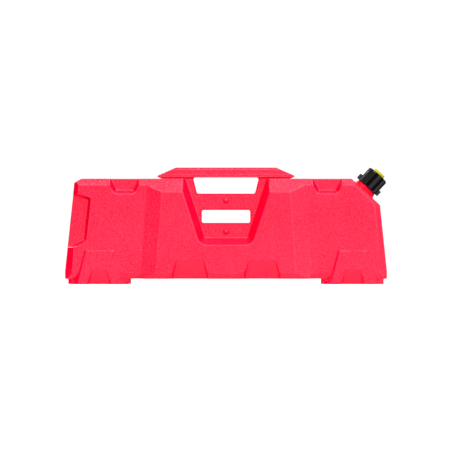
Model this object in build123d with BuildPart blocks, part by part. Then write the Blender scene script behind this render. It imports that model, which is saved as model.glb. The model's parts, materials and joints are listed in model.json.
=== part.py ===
from build123d import *
from math import cos, radians, sin, tan
import os

# A slim, flat fuel can in moulded polyethylene, carried by a handle in its top edge.
# x runs along its length, y through its depth (the front face looks to -y), z is up,
# and the origin is on the floor under the middle. Every size is in millimetres.

# ---------------------------------------------------------------- the moulding's outline
BASE_LENGTH = 704.0         # over the ends, at the bottom
END_SETBACK = 21.5          # how far each end has leaned in by the top edge
BODY_TOP = 230.5            # height of the top edge
FOOT_HEIGHT = 11.5          # height of the underside over the floor
END_UPRIGHT = 16.5          # height of the upright foot of each end, before it leans in
CORNER_CUT_X = 14.5         # cut across the plain top corner
CORNER_CUT_Z = 9.0
SLANT_SETBACK = 56.0        # how far the slanted corner's top stands in from the end
SLANT_ANGLE = 43.0          # its slope below the horizontal, degrees

# ---------------------------------------------------------------- its depth
END_DEPTH = 76.0            # over the faces of the two ends
MIDDLE_DEPTH = 98.0         # over the raised middle
TOP_DEPTH = 55.6            # over the top edge, between the sloped shoulders
SHOULDER_ANGLE = 35.5       # slope of the shoulders, from the upright
BEVEL_HEIGHT = 12.7         # bottom bevel
BEVEL_DEPTH = 8.5
END_CUT_X = 16.0            # slanted cut down each upright end, at the bottom
END_CUT_Y = 13.0
END_CUT_TAPER = 0.62        # the same cut at the top edge, as a share of the bottom
SLANT_CUT = 6.8             # cut along the slanted corner
CUT_WALLS = 1.5             # how many walls the cavity keeps inside these slanted cuts
MIDDLE_BASE = 306.0         # length of the raised middle's face, at the bottom
MIDDLE_TOP = 275.0          # and carried up to the top edge
MIDDLE_RAMP = 34.0          # length of the ramp from the middle's face to the end's
WALL = 3.5                  # wall of the moulding
EDGE_ROUND = 3.0            # rounding of the moulding's main edges
FLOOR_ROUND = 2.0           # rounding along the floors of its recesses
RIM_ROUND = 2.0             # and along their rims

# ---------------------------------------------------------------- recess round the hand hole and slot
WEB_DEPTH = 30.0            # over the two recess floors
RECESS_FLOOR_Z = 101.0      # bottom edge of the recess floor
RECESS_FLOOR_LENGTH = 92.1  # its length there
RECESS_LEAN = 18.0          # lean of its sides, degrees
RECESS_DRAFT = 24.5         # draft of its walls
RECESS_CORNER = 6.0

HAND_HOLE_TOP = 234.0
HAND_HOLE_BASE = 198.0
HAND_HOLE_TOP_LENGTH = 146.0
HAND_HOLE_BASE_LENGTH = 127.6
HAND_HOLE_CORNER = 5.0

SLOT_LENGTH = 107.0
SLOT_HEIGHT = 28.8
SLOT_Z = 148.0
SLOT_CORNER = 4.4

PIP_RADIUS = 6.5            # the two moulded pips above and below the slot
PIP_RISE = 3.2
PIP_SPACING = 68.0          # centre to centre

# ---------------------------------------------------------------- handle
HANDLE_TOP = 255.4
HANDLE_TOP_LENGTH = 220.0
HANDLE_TIP_Z = 236.0
HANDLE_LENGTH = 306.6       # over the pointed tips
HANDLE_ROOT_LENGTH = 278.0  # where its underside meets the top edge
HANDLE_DEPTH = 29.0         # over the grip
HANDLE_CHAMFER = 4.8
HANDLE_LIP_DEPTH = 38.0     # over the lip below the grip
HANDLE_LIP_RISE = 4.0       # height of the slope from the lip up to the grip
HANDLE_SUNK = 10.0          # how far its underside runs on down into the body
HANDLE_ROUND = 2.0

# ---------------------------------------------------------------- pockets, grip, scallops, pads and feet
POCKET_INSET = 109.0        # from the top edge's end to a pocket's middle
POCKET_DEPTH = 44.0         # over the floors of a front and back pair
POCKET_FLOOR_Z = 205.5
POCKET_FLOOR_LENGTH = 35.0
POCKET_LEAN = 26.0
POCKET_DRAFT = 28.0
POCKET_CORNER = 2.5

GRIP_DEPTH = 52.0           # the grip in the plain end, over a front and back pair of floors
GRIP_TOP = 184.0
GRIP_HEIGHT = 87.0
GRIP_REACH = 34.0           # how far its floor runs in from the end
GRIP_TOP_SLOPE = 16.0       # slopes of its upper and lower edges, degrees
GRIP_BASE_SLOPE = 25.0
GRIP_DRAFT = 30.0
GRIP_CORNER = 2.0

SCALLOP_X = 78.6            # the scallops in the bottom edge
SCALLOP_TOP = 52.5
SCALLOP_TOP_LENGTH = 58.3
SCALLOP_BASE_LENGTH = 91.0
SCALLOP_DEPTH = 17.0
SCALLOP_WALL = 8.0          # slope of its side walls, along x
SCALLOP_STEP = 1.2          # depth of a scallop's upper edge

PAD_INSET = 76.0            # from an end to the middle of its pad
PAD_TOP = 75.5
PAD_TOP_LENGTH = 64.0
PAD_BASE_LENGTH = 105.0
PAD_RISE = 4.2
PAD_DRAFT = 45.0
PAD_CORNER = 5.0
PAD_SCALLOP_TOP = 31.0
PAD_SCALLOP_TOP_LENGTH = 34.0
PAD_SCALLOP_BASE_LENGTH = 54.0
PAD_SCALLOP_DEPTH = 12.0
PAD_SCALLOP_WALL = 5.0

FOOT_INSET = 7.0            # from an end to its foot
FOOT_LENGTH = 135.5
FOOT_DEPTH = 67.0           # over the lip round a foot's top
FOOT_LIP = 3.0              # thickness of that lip
FOOT_SETBACK = 2.0          # how far the sole stands in from the lip
FOOT_CUT_X = 11.0           # slanted cut across each corner of a foot
FOOT_CUT_Y = 6.0
FOOT_SUNK = 10.0            # how far a foot runs on up into the body

# ---------------------------------------------------------------- neck
NECK_ALONG_SLANT = 38.0     # from the slanted corner's top edge to the neck's axis
NECK_BASE_RADIUS = 26.6
NECK_SHOULDER_RADIUS = 22.8
NECK_SHOULDER = 11.0        # height of the shoulder over the slant
NECK_RADIUS = 21.0          # root of the neck's thread
NECK_HEIGHT = 38.0
NECK_BORE = 18.0            # radius

# ---------------------------------------------------------------- cap
SHOULDER_GAP = 0.6          # collar's lower edge to the neck's shoulder
COLLAR_BORE = 22.8          # radius, at the root of the collar's thread
COLLAR_RADIUS = 24.2        # in the flutes between its ribs
COLLAR_ROUND = 4.2
COLLAR_LIP = 2.6            # thickness of the lip over the stopper
RIB_COUNT = 9
RIB_WIDTH = 8.8
RIB_RADIUS = 25.2
RIB_TURN = 1.5              # where the first rib stands, degrees round from the slope
LUG_COUNT = 2
LUG_RADIUS = 30.4
LUG_WIDTH = 4.4
LUG_HEIGHT = 12.4
LUG_TURN = -5.0             # where the first lug stands, degrees round from the slope

GASKET = 1.6                # thickness of each gasket
GASKET_RADIUS = 20.9
GASKET_BORE = 17.0
FLANGE = 2.2                # thickness of the stopper's and the spout's flanges
FLANGE_RADIUS = 22.2
TURN_GAP = 0.3              # clearance of what turns or slides
BOSS_RADIUS = 13.5
BOSS_RISE = 6.0             # the stopper's boss over the collar
BOSS_ROUND = 1.6
BOSS_WALL = 2.2

# ---------------------------------------------------------------- stored spout
SPOUT_RADIUS = 16.4         # rigid tube below the flange
SPOUT_WALL = 1.8
SPOUT_TUBE = 56.0           # its length below the flange
SPOUT_CONE = 6.0            # cone from the tube down to the hose
BARB_LENGTH = 14.0          # how far the hose is pushed on at each end
HOSE_RADIUS = 14.6          # over the corrugations
HOSE_ROOT_RADIUS = 12.9
HOSE_WALL = 1.5
HOSE_RINGS = 8
HOSE_RING_PITCH = 6.0
NOZZLE_STEP = 1.2           # shoulder that the hose's end stops against
NOZZLE_TIP_RADIUS = 8.0
NOZZLE_WALL = 1.6
NOZZLE_LENGTH = 48.0        # beyond the hose
VENT_RADIUS = 2.6
VENT_WALL = 0.8
VENT_OFFSET = 3.2           # from the spout's axis
STRAINER_RADIUS = 15.8
STRAINER_RIM = 1.2
STRAINER_WALL = 1.2
STRAINER_DEPTH = 14.0
STRAINER_SLOTS = 8
STRAINER_SLOT_WIDTH = 2.4
STRAINER_SLOT_LENGTH = 5.5
STRAINER_SLOT_RADIUS = 10.0 # from the axis to the middle of a slot

OVERSHOOT = 4.0             # how far a cut runs past the surface it opens
TOUCH = 0.01                # nearer than this counts as touching

# ---------------------------------------------------------------- the slanted corner and the neck's frame
top_end = BASE_LENGTH / 2 - END_SETBACK
end_lean = END_SETBACK / (BODY_TOP - FOOT_HEIGHT - END_UPRIGHT)
slope = radians(SLANT_ANGLE)
slant_length = SLANT_SETBACK / (cos(slope) - end_lean * sin(slope))
down_slant = Vector(cos(slope), 0, -sin(slope))
out_of_slant = Vector(sin(slope), 0, cos(slope))
slant_top = Vector(top_end - SLANT_SETBACK, 0, BODY_TOP)
slant_foot = slant_top + down_slant * slant_length

neck_foot = slant_top + down_slant * NECK_ALONG_SLANT
neck_axis = Axis(neck_foot, out_of_slant)
# Sketches of what is turned on the neck: local x is the radius, local y the height over the slant.
neck_section = Plane(neck_foot, x_dir=down_slant, z_dir=(0, -1, 0))


def neck_plane(height):
    """The plane across the neck's axis, at a height over the slant."""
    return Plane(neck_foot + out_of_slant * height, x_dir=down_slant, z_dir=out_of_slant)


def end_x(height):
    """How far an end stands from the middle, at a height."""
    return BASE_LENGTH / 2 - max(0.0, height - FOOT_HEIGHT - END_UPRIGHT) * end_lean


# ---------------------------------------------------------------- shapes that the shell and its cavity share
# Each takes a skin: nothing for the outer shape, the wall for the cavity inside it.
def outline(skin):
    """The moulding's side outline."""
    with BuildSketch(Plane.XZ) as face:
        with BuildLine():
            Polyline(
                (-BASE_LENGTH / 2, FOOT_HEIGHT),
                (BASE_LENGTH / 2, FOOT_HEIGHT),
                (BASE_LENGTH / 2, FOOT_HEIGHT + END_UPRIGHT),
                (slant_foot.X, slant_foot.Z),
                (slant_top.X, slant_top.Z),
                (-top_end + CORNER_CUT_X, BODY_TOP),
                (-end_x(BODY_TOP - CORNER_CUT_Z), BODY_TOP - CORNER_CUT_Z),
                (-BASE_LENGTH / 2, FOOT_HEIGHT + END_UPRIGHT),
                close=True,
            )
        make_face()
        if skin:
            offset(amount=-skin, kind=Kind.INTERSECTION)
    return face.sketch


def cross_section(depth, skin):
    """The moulding cut across its length: sloped shoulders above, a bevel below."""
    half = depth / 2
    shoulder = BODY_TOP - (half - TOP_DEPTH / 2) / tan(radians(SHOULDER_ANGLE))
    with BuildSketch(Plane.YZ) as section:
        with BuildLine():
            Polyline(
                (half - BEVEL_DEPTH, FOOT_HEIGHT),
                (half, FOOT_HEIGHT + BEVEL_HEIGHT),
                (half, shoulder),
                (TOP_DEPTH / 2, BODY_TOP),
                (-TOP_DEPTH / 2, BODY_TOP),
                (-half, shoulder),
                (-half, FOOT_HEIGHT + BEVEL_HEIGHT),
                (-half + BEVEL_DEPTH, FOOT_HEIGHT),
                close=True,
            )
        make_face()
        if skin:
            offset(amount=-skin, kind=Kind.INTERSECTION)
    return section.sketch


def corner(reach_x, reach_y, side):
    """What a slanted cut takes off a corner that stands at the sketch's origin."""
    with BuildSketch() as shape:
        with BuildLine():
            Polyline(
                (-side * reach_x, -OVERSHOOT),
                (-side * reach_x, 0),
                (0, reach_y),
                (side * OVERSHOOT, reach_y),
                (side * OVERSHOOT, -OVERSHOOT),
                close=True,
            )
        make_face()
    return shape.sketch


def edge_cuts(skin):
    """The slanted cuts down the ends' front edges and along the slanted corner."""
    face = -END_DEPTH / 2
    grown = CUT_WALLS * skin
    upright_top = FOOT_HEIGHT + END_UPRIGHT
    with BuildPart() as cuts:
        for side in (-1, 1):
            for height, share in (
                (FOOT_HEIGHT - OVERSHOOT, 1),
                (upright_top, 1),
                (BODY_TOP + OVERSHOOT, END_CUT_TAPER),
            ):
                with BuildSketch(Plane((side * end_x(height), face, height))):
                    add(corner(END_CUT_X * share + grown, END_CUT_Y * share + grown, side))
            loft(ruled=True)
        start = slant_foot + down_slant * 2 * OVERSHOOT
        with BuildSketch(Plane((start.X, face, start.Z), x_dir=out_of_slant, z_dir=-down_slant)):
            add(corner(SLANT_CUT + grown, SLANT_CUT + grown, 1))
        extrude(amount=slant_length + 4 * OVERSHOOT)
        mirror(about=Plane.XZ)
    return cuts.part


def block(skin):
    """The plain form, before anything is pressed into it: narrow ends and a raised middle."""
    with BuildPart() as ends:
        extrude(outline(skin), amount=END_DEPTH, both=True)
        extrude(cross_section(END_DEPTH, skin), amount=BASE_LENGTH, both=True, mode=Mode.INTERSECT)
        add(edge_cuts(skin), mode=Mode.SUBTRACT)
    with BuildPart() as middle:
        for side in (-1, 1):
            for half, reach in ((MIDDLE_DEPTH / 2, 0), (END_DEPTH / 2, MIDDLE_RAMP))[::-side]:
                with BuildSketch(Plane.XZ.offset(-side * (half - skin))):
                    with BuildLine():
                        Polyline(
                            (-MIDDLE_BASE / 2 - reach, FOOT_HEIGHT),
                            (MIDDLE_BASE / 2 + reach, FOOT_HEIGHT),
                            (MIDDLE_TOP / 2 + reach, BODY_TOP),
                            (-MIDDLE_TOP / 2 - reach, BODY_TOP),
                            close=True,
                        )
                    make_face()
        loft(ruled=True)
        extrude(cross_section(MIDDLE_DEPTH, skin), amount=BASE_LENGTH, both=True, mode=Mode.INTERSECT)
    with BuildPart() as form:
        add(ends.part)
        add(middle.part)
        if not skin:
            fillet(form.edges(), EDGE_ROUND)
    return form.part


def drafted(floor, points, corner_radius, draft, skin):
    """A recess in the front face: its floor's outline, widening by the draft on its way out."""
    with BuildPart() as recess:
        with BuildSketch(Plane.XZ.offset(floor / 2 - skin)) as shape:
            with BuildLine():
                Polyline(*points, close=True)
            make_face()
            fillet(shape.vertices().sort_by(Axis.Y)[:2], corner_radius)
            if skin:
                offset(amount=skin)
        extrude(amount=(MIDDLE_DEPTH - floor) / 2 + skin + OVERSHOOT, taper=-draft)
        if not skin:
            fillet(recess.edges().group_by(Axis.Y)[-1].sort_by(Axis.Z)[:-1], FLOOR_ROUND)
    return recess.part


def flared(centre, bottom, length, lean, top):
    """Corners of a shape with a level bottom edge and sides that lean outwards up to its top."""
    spread = (top - bottom) * tan(radians(lean))
    return (
        (centre - length / 2, bottom),
        (centre + length / 2, bottom),
        (centre + length / 2 + spread, top),
        (centre - length / 2 - spread, top),
    )


def scallop(centre, face, bottom, top, base_length, top_length, depth, wall, skin):
    """A ramp pressed into the bottom edge, deepest where it runs out at the bottom."""
    with BuildPart() as ramp:
        for height, length, deep, run in (
            (bottom - OVERSHOOT, base_length, depth, wall),
            (top + skin, top_length, SCALLOP_STEP, wall * SCALLOP_STEP / depth),
        ):
            outer = length / 2 + skin
            spread = run * OVERSHOOT / deep
            with BuildSketch(Plane.XY.offset(height)):
                with BuildLine():
                    Polyline(
                        (centre - outer - spread, -face - OVERSHOOT),
                        (centre + outer + spread, -face - OVERSHOOT),
                        (centre + outer - run, -face + deep + skin),
                        (centre - outer + run, -face + deep + skin),
                        close=True,
                    )
                make_face()
        loft(ruled=True)
    return ramp.part


def recesses(skin):
    """The drafted recesses of the two faces: pockets in the top edge, end grip, middle."""
    above = BODY_TOP + OVERSHOOT
    grip_x = GRIP_REACH - end_x(GRIP_TOP)
    grip_base_x = GRIP_REACH - end_x(GRIP_TOP - GRIP_HEIGHT)
    reach = 2 * GRIP_REACH + OVERSHOOT
    grip = (
        (grip_base_x - reach, GRIP_TOP - GRIP_HEIGHT - reach * tan(radians(GRIP_BASE_SLOPE))),
        (grip_base_x, GRIP_TOP - GRIP_HEIGHT),
        (grip_x, GRIP_TOP),
        (grip_x - reach, GRIP_TOP + reach * tan(radians(GRIP_TOP_SLOPE))),
    )
    with BuildPart() as cuts:
        add(drafted(
            POCKET_DEPTH,
            flared(top_end - POCKET_INSET, POCKET_FLOOR_Z, POCKET_FLOOR_LENGTH, POCKET_LEAN, above),
            POCKET_CORNER, POCKET_DRAFT, skin,
        ))
        mirror(about=Plane.YZ)
        add(drafted(GRIP_DEPTH, grip, GRIP_CORNER, GRIP_DRAFT, skin))
        add(drafted(
            WEB_DEPTH, flared(0, RECESS_FLOOR_Z, RECESS_FLOOR_LENGTH, RECESS_LEAN, above),
            RECESS_CORNER, RECESS_DRAFT, skin,
        ))
        mirror(about=Plane.XZ)
    return cuts.solids()


def scallops(skin):
    """The ramps pressed into the bottom edges of the middle and of the pads."""
    with BuildPart() as cuts:
        add(scallop(
            SCALLOP_X, MIDDLE_DEPTH / 2, FOOT_HEIGHT, SCALLOP_TOP, SCALLOP_BASE_LENGTH,
            SCALLOP_TOP_LENGTH, SCALLOP_DEPTH, SCALLOP_WALL, skin,
        ))
        add(scallop(
            BASE_LENGTH / 2 - PAD_INSET, END_DEPTH / 2 + PAD_RISE, 0, PAD_SCALLOP_TOP,
            PAD_SCALLOP_BASE_LENGTH, PAD_SCALLOP_TOP_LENGTH, PAD_SCALLOP_DEPTH, PAD_SCALLOP_WALL, skin,
        ))
        mirror(about=Plane.YZ)
        mirror(about=Plane.XZ)
    return cuts.part


def openings(skin):
    """The hand hole and the slot, right through the web."""
    with BuildPart() as holes:
        with BuildSketch(Plane.XZ) as hand_hole:
            lean = (HAND_HOLE_TOP_LENGTH - HAND_HOLE_BASE_LENGTH) / 2
            with BuildLine():
                Polyline(
                    (-HAND_HOLE_BASE_LENGTH / 2, HAND_HOLE_BASE),
                    (HAND_HOLE_BASE_LENGTH / 2, HAND_HOLE_BASE),
                    (HAND_HOLE_BASE_LENGTH / 2 + lean, HAND_HOLE_TOP),
                    (-HAND_HOLE_BASE_LENGTH / 2 - lean, HAND_HOLE_TOP),
                    close=True,
                )
            make_face()
            fillet(hand_hole.vertices(), HAND_HOLE_CORNER)
            if skin:
                offset(amount=skin)
        with BuildSketch(Plane.XZ):
            with Locations((0, SLOT_Z)):
                RectangleRounded(SLOT_LENGTH + 2 * skin, SLOT_HEIGHT + 2 * skin, SLOT_CORNER + skin)
        extrude(amount=MIDDLE_DEPTH, both=True)
    return holes.part


def pads(skin):
    """The raised pads on both ends, down to the floor, with sides that spread over the bevel."""
    with BuildPart() as raised:
        with BuildSketch(Plane.XZ) as shape:
            centre = BASE_LENGTH / 2 - PAD_INSET
            lean = (PAD_BASE_LENGTH - PAD_TOP_LENGTH) / 2 / PAD_TOP
            with BuildLine():
                Polyline(
                    (centre - PAD_BASE_LENGTH / 2 - PAD_TOP * lean, -PAD_TOP),
                    (centre + PAD_BASE_LENGTH / 2 + PAD_TOP * lean, -PAD_TOP),
                    (centre + PAD_TOP_LENGTH / 2, PAD_TOP - skin),
                    (centre - PAD_TOP_LENGTH / 2, PAD_TOP - skin),
                    close=True,
                )
            make_face()
            fillet(shape.vertices().sort_by(Axis.Y)[2:], PAD_CORNER)
            offset(amount=BEVEL_DEPTH * tan(radians(PAD_DRAFT)), kind=Kind.INTERSECTION)
        extrude(amount=END_DEPTH / 2 - BEVEL_DEPTH - skin)
        extrude(raised.faces().sort_by(Axis.Y)[0], amount=BEVEL_DEPTH + PAD_RISE, taper=PAD_DRAFT)
        split(bisect_by=Plane.XY.offset(skin), keep=Keep.TOP)
        mirror(about=Plane.YZ)
        mirror(about=Plane.XZ)
    return raised.part


def feet(skin):
    """The two blocks the can stands on, each with a lip round its top and its corners cut."""
    outer = BASE_LENGTH / 2 - FOOT_INSET
    inner = outer - FOOT_LENGTH
    lip = FOOT_DEPTH / 2
    sole = lip - FOOT_SETBACK
    root = END_DEPTH / 2 - BEVEL_DEPTH
    with BuildPart() as blocks:
        with BuildSketch(Plane.YZ.offset(inner)):
            with BuildLine():
                Polyline(
                    (0, 0),
                    (sole, 0),
                    (sole, FOOT_HEIGHT / 2 - FOOT_SETBACK / 2),
                    (lip, FOOT_HEIGHT / 2),
                    (lip, FOOT_HEIGHT / 2 + FOOT_LIP),
                    (root, FOOT_HEIGHT),
                    (root, FOOT_HEIGHT + FOOT_SUNK),
                    (0, FOOT_HEIGHT + FOOT_SUNK),
                    close=True,
                )
            make_face()
            mirror(about=Plane.YZ)
            if skin:
                offset(amount=-skin, kind=Kind.INTERSECTION)
        extrude(amount=FOOT_LENGTH)
        with BuildSketch():
            with BuildLine():
                Polyline(
                    (inner, 0),
                    (inner, lip - FOOT_CUT_Y),
                    (inner + FOOT_CUT_X, lip),
                    (outer - FOOT_CUT_X, lip),
                    (outer, lip - FOOT_CUT_Y),
                    (outer, 0),
                    close=True,
                )
            make_face()
            mirror(about=Plane.XZ)
            if skin:
                offset(amount=-skin, kind=Kind.INTERSECTION)
        extrude(amount=FOOT_HEIGHT + FOOT_SUNK, mode=Mode.INTERSECT)
        mirror(about=Plane.YZ)
    return blocks.part


def handle(skin):
    """The carrying bar: pointed tips in side view, a chamfered grip over a lip in section."""
    grip = HANDLE_DEPTH / 2
    lip = HANDLE_LIP_DEPTH / 2
    rise = HANDLE_TIP_Z - BODY_TOP
    sunk = 1 + HANDLE_SUNK / rise
    root_x = HANDLE_LENGTH / 2 - (HANDLE_LENGTH - HANDLE_ROOT_LENGTH) / 2 * sunk
    root_y = lip - (lip - WEB_DEPTH / 2) * sunk
    root_z = BODY_TOP - HANDLE_SUNK
    with BuildPart() as bar:
        with BuildSketch(Plane.XZ):
            with BuildLine():
                Polyline(
                    (-root_x, root_z),
                    (root_x, root_z),
                    (HANDLE_LENGTH / 2, HANDLE_TIP_Z),
                    (HANDLE_TOP_LENGTH / 2, HANDLE_TOP),
                    (-HANDLE_TOP_LENGTH / 2, HANDLE_TOP),
                    (-HANDLE_LENGTH / 2, HANDLE_TIP_Z),
                    close=True,
                )
            make_face()
            if skin:
                offset(amount=-skin, kind=Kind.INTERSECTION)
        extrude(amount=lip, both=True)
        with BuildSketch(Plane.YZ):
            with BuildLine():
                Polyline(
                    (0, root_z),
                    (root_y, root_z),
                    (lip, HANDLE_TIP_Z),
                    (grip, HANDLE_TIP_Z + HANDLE_LIP_RISE),
                    (grip, HANDLE_TOP - HANDLE_CHAMFER),
                    (grip - HANDLE_CHAMFER, HANDLE_TOP),
                    (0, HANDLE_TOP),
                    close=True,
                )
            make_face()
            mirror(about=Plane.YZ)
            if skin:
                offset(amount=-skin, kind=Kind.INTERSECTION)
        extrude(amount=HANDLE_LENGTH, both=True, mode=Mode.INTERSECT)
        if not skin:
            fillet(bar.edges(), HANDLE_ROUND)
    return bar.part


def moulding(skin):
    """The whole moulded form but its neck."""
    with BuildPart() as form:
        add(block(skin))
        for recess in recesses(skin):
            add(recess, mode=Mode.SUBTRACT)
            if not skin:
                fillet([edge for edge in form.edges(Select.LAST) if is_rim(edge, recess)], RIM_ROUND)
        add(pads(skin))
        add(feet(skin))
        add(scallops(skin), mode=Mode.SUBTRACT)
        add(handle(skin))
        add(openings(skin), mode=Mode.SUBTRACT)
    return form.part


def is_rim(edge, cutter):
    """Whether an edge lies on the cutter's surface, but not along one of the cutter's edges."""
    middle = edge @ 0.5
    if cutter.distance_to(middle) > TOUCH:
        return False
    return all(own.distance_to(middle) > TOUCH for own in cutter.edges())


def pips():
    """The small domes moulded on both sides of the web, above and below the slot."""
    sphere_radius = (PIP_RADIUS**2 + PIP_RISE**2) / 2 / PIP_RISE
    with BuildPart() as domes:
        with Locations(*[
            (0, side * (WEB_DEPTH / 2 + PIP_RISE - sphere_radius), SLOT_Z + level * PIP_SPACING / 2)
            for side in (-1, 1)
            for level in (-1, 1)
        ]):
            Sphere(sphere_radius)
    return domes.part


def turned(*points):
    """A solid of revolution about the neck's axis, from (radius, height) points."""
    with BuildPart() as solid:
        with BuildSketch(neck_section):
            with BuildLine():
                Polyline(*points, close=True)
            make_face()
        revolve(axis=neck_axis)
    return solid.part


def ring(outer, bore, bottom, top):
    """A plain ring about the neck's axis."""
    return turned((bore, bottom), (outer, bottom), (outer, top), (bore, top))


def write(piece, name):
    """Label a finished piece and write it."""
    piece.label = name
    export_step(piece, f"parts/{name}.step")


os.makedirs("parts", exist_ok=True)

# ---------------------------------------------------------------- the tank
with BuildPart() as tank_body:
    add(moulding(0))
    add(pips())
    add(turned(
        (0, -WALL),
        (NECK_BASE_RADIUS, -WALL),
        (NECK_BASE_RADIUS, 0),
        (NECK_SHOULDER_RADIUS, NECK_SHOULDER),
        (NECK_RADIUS, NECK_SHOULDER),
        (NECK_RADIUS, NECK_HEIGHT),
        (0, NECK_HEIGHT),
    ))
    add(moulding(WALL), mode=Mode.SUBTRACT)
    add(turned(
        (0, -WALL - OVERSHOOT),
        (NECK_BASE_RADIUS - WALL, -WALL - OVERSHOOT),
        (NECK_BASE_RADIUS - WALL, -WALL),
        (NECK_BORE, NECK_SHOULDER - WALL),
        (NECK_BORE, NECK_HEIGHT + OVERSHOOT),
        (0, NECK_HEIGHT + OVERSHOOT),
    ), mode=Mode.SUBTRACT)
write(tank_body.part, "tank_body")

# ---------------------------------------------------------------- what is stacked on the neck's rim
spout_seat = NECK_HEIGHT + GASKET
stopper_gasket_seat = spout_seat + FLANGE
stopper_seat = stopper_gasket_seat + GASKET
lip_seat = stopper_seat + FLANGE
collar_top = lip_seat + COLLAR_LIP
collar_foot = NECK_SHOULDER + SHOULDER_GAP

write(ring(GASKET_RADIUS, GASKET_BORE, NECK_HEIGHT, spout_seat), "neck_gasket")
write(ring(GASKET_RADIUS, GASKET_BORE, stopper_gasket_seat, stopper_seat), "stopper_gasket")

# ---------------------------------------------------------------- stopper: a flange and a boss that fills the collar
boss_top = collar_top + BOSS_RISE
with BuildPart() as stopper:
    with BuildSketch(neck_section):
        with BuildLine():
            Polyline(
                (0, boss_top - BOSS_WALL),
                (BOSS_RADIUS - BOSS_WALL, boss_top - BOSS_WALL),
                (BOSS_RADIUS - BOSS_WALL, stopper_seat),
                (FLANGE_RADIUS, stopper_seat),
                (FLANGE_RADIUS, lip_seat),
                (BOSS_RADIUS, lip_seat),
                (BOSS_RADIUS, boss_top),
                (0, boss_top),
                close=True,
            )
        make_face()
    revolve(axis=neck_axis)
    fillet(stopper.edges().filter_by(GeomType.CIRCLE).sort_by(neck_axis)[-1], BOSS_ROUND)
write(stopper.part, "stopper")

# ---------------------------------------------------------------- collar: screwed barrel, ribs for the hand, lugs
with BuildPart() as cap_collar:
    with BuildSketch(neck_section):
        with BuildLine():
            Polyline(
                (COLLAR_BORE, collar_foot),
                (RIB_RADIUS, collar_foot),
                (RIB_RADIUS, collar_top),
                (BOSS_RADIUS + TURN_GAP, collar_top),
                (BOSS_RADIUS + TURN_GAP, lip_seat),
                (COLLAR_BORE, lip_seat),
                close=True,
            )
        make_face()
    revolve(axis=neck_axis)
    rim = cap_collar.edges().filter_by(GeomType.CIRCLE).group_by(neck_axis)[-1].sort_by(SortBy.RADIUS)[-1]
    fillet(rim, COLLAR_ROUND)
    with BuildSketch(neck_plane(collar_foot - OVERSHOOT)):
        Circle(RIB_RADIUS + OVERSHOOT)
        Circle(COLLAR_RADIUS, mode=Mode.SUBTRACT)
        with PolarLocations(0, RIB_COUNT, start_angle=RIB_TURN):
            with Locations((RIB_RADIUS, 0)):
                Rectangle(2 * OVERSHOOT + RIB_RADIUS, RIB_WIDTH, mode=Mode.SUBTRACT)
    extrude(amount=collar_top - collar_foot + 2 * OVERSHOOT, mode=Mode.SUBTRACT)
    with BuildSketch(neck_plane(collar_foot)):
        with PolarLocations(0, LUG_COUNT, start_angle=LUG_TURN):
            with Locations(((COLLAR_BORE + LUG_RADIUS) / 2 + TURN_GAP, 0)):
                Rectangle(LUG_RADIUS - COLLAR_BORE - 2 * TURN_GAP, LUG_WIDTH)
    extrude(amount=LUG_HEIGHT)
write(cap_collar.part, "cap_collar")

# ---------------------------------------------------------------- spout, stored upside down in the tank
tube_end = spout_seat - SPOUT_TUBE
hose_top = tube_end - SPOUT_CONE
hose_length = 2 * BARB_LENGTH + HOSE_RINGS * HOSE_RING_PITCH
hose_end = hose_top - hose_length
hose_bore = HOSE_ROOT_RADIUS - HOSE_WALL
barb_bore = hose_bore - SPOUT_WALL
nozzle_end = hose_end - NOZZLE_LENGTH
rim_seat = stopper_gasket_seat - STRAINER_RIM

write(turned(
    (SPOUT_RADIUS - SPOUT_WALL, tube_end),
    (barb_bore, hose_top),
    (barb_bore, hose_top - BARB_LENGTH),
    (hose_bore, hose_top - BARB_LENGTH),
    (hose_bore, hose_top),
    (SPOUT_RADIUS, tube_end),
    (SPOUT_RADIUS, spout_seat),
    (FLANGE_RADIUS, spout_seat),
    (FLANGE_RADIUS, stopper_gasket_seat),
    (STRAINER_RADIUS, stopper_gasket_seat),
    (STRAINER_RADIUS, rim_seat),
    (SPOUT_RADIUS - SPOUT_WALL, rim_seat),
), "spout_base")

with BuildPart() as spout_hose:
    ripples = []
    for ring_number in range(HOSE_RINGS):
        crest = hose_top - BARB_LENGTH - (ring_number + 0.5) * HOSE_RING_PITCH
        ripples += [
            (HOSE_ROOT_RADIUS, crest + HOSE_RING_PITCH / 2),
            (HOSE_RADIUS, crest + HOSE_RING_PITCH / 4),
            (HOSE_RADIUS, crest - HOSE_RING_PITCH / 4),
        ]
    with BuildSketch(neck_section):
        with BuildLine():
            Polyline(
                (hose_bore, hose_top),
                (HOSE_ROOT_RADIUS, hose_top),
                *ripples,
                (HOSE_ROOT_RADIUS, hose_end + BARB_LENGTH),
                (HOSE_ROOT_RADIUS, hose_end),
                (hose_bore, hose_end),
                close=True,
            )
        make_face()
    revolve(axis=neck_axis)
write(spout_hose.part, "spout_hose")

write(turned(
    (barb_bore, hose_end + BARB_LENGTH),
    (hose_bore, hose_end + BARB_LENGTH),
    (hose_bore, hose_end),
    (HOSE_ROOT_RADIUS + NOZZLE_STEP, hose_end),
    (HOSE_ROOT_RADIUS + NOZZLE_STEP, hose_end - 2 * NOZZLE_WALL),
    (barb_bore + NOZZLE_WALL, hose_end - 2 * NOZZLE_WALL),
    (NOZZLE_TIP_RADIUS, nozzle_end),
    (NOZZLE_TIP_RADIUS - NOZZLE_WALL, nozzle_end),
    (barb_bore, hose_end - 2 * NOZZLE_WALL),
), "spout_nozzle")

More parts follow.
